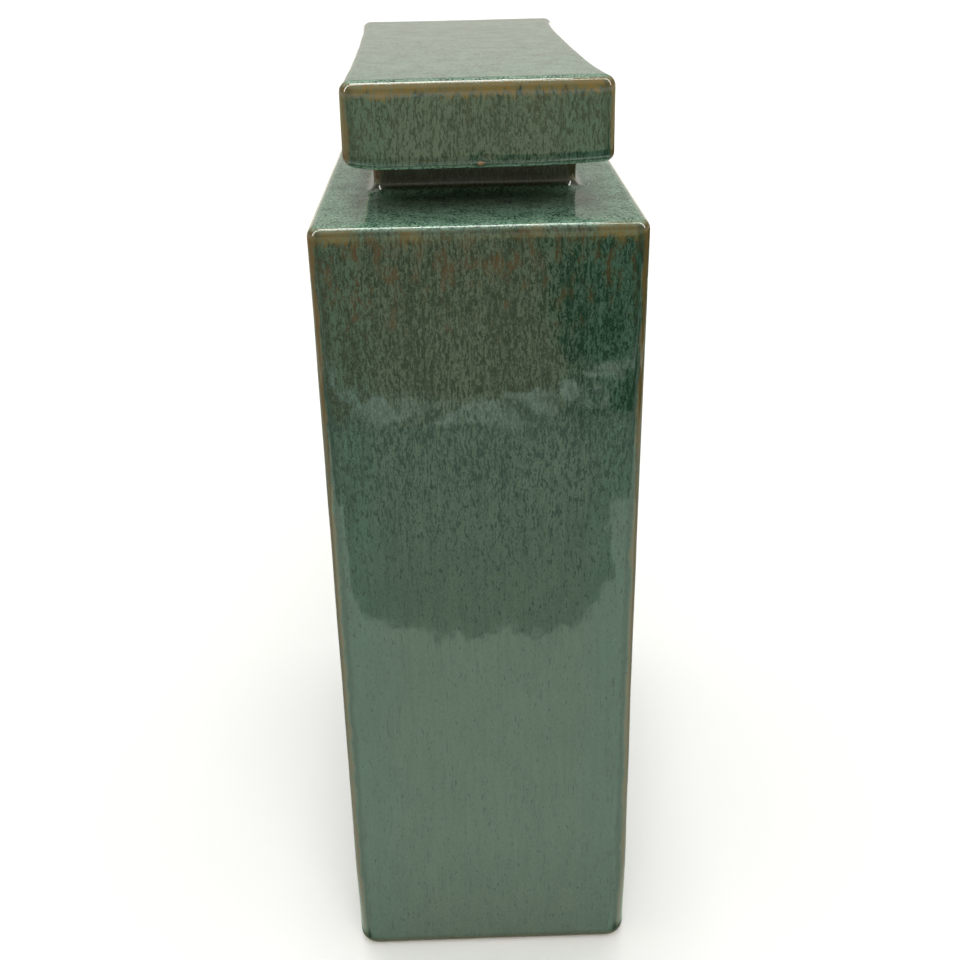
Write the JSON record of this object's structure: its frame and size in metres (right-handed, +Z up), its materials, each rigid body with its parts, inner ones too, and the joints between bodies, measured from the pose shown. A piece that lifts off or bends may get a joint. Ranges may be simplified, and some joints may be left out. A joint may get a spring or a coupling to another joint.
{
  "type": "ginger jar",
  "caption": "Tall narrow rectangular stoneware ginger jar with a flat box lid that lifts off a low neck, in streaked green gloss glaze.",
  "frame": {"origin": "centre of the foot, on the surface the jar stands on", "axes": "+Z up, +Y along the jar's broad sides, +X across its narrow ends"},
  "size_m": [0.127, 0.27, 0.3985],
  "materials": {
    "glaze": "glossy streaked green glaze that breaks to brown at the edges, over stoneware"
  },
  "bodies": {
    "jar": {"jar_body": "glaze"},
    "lid": {"lid": "glaze"}
  },
  "joints": [
    {"name": "lid_lift", "type": "slide", "parent": "jar", "child": "lid", "axis": [0, 0, 1], "range_m": [0, 0.03]}
  ]
}
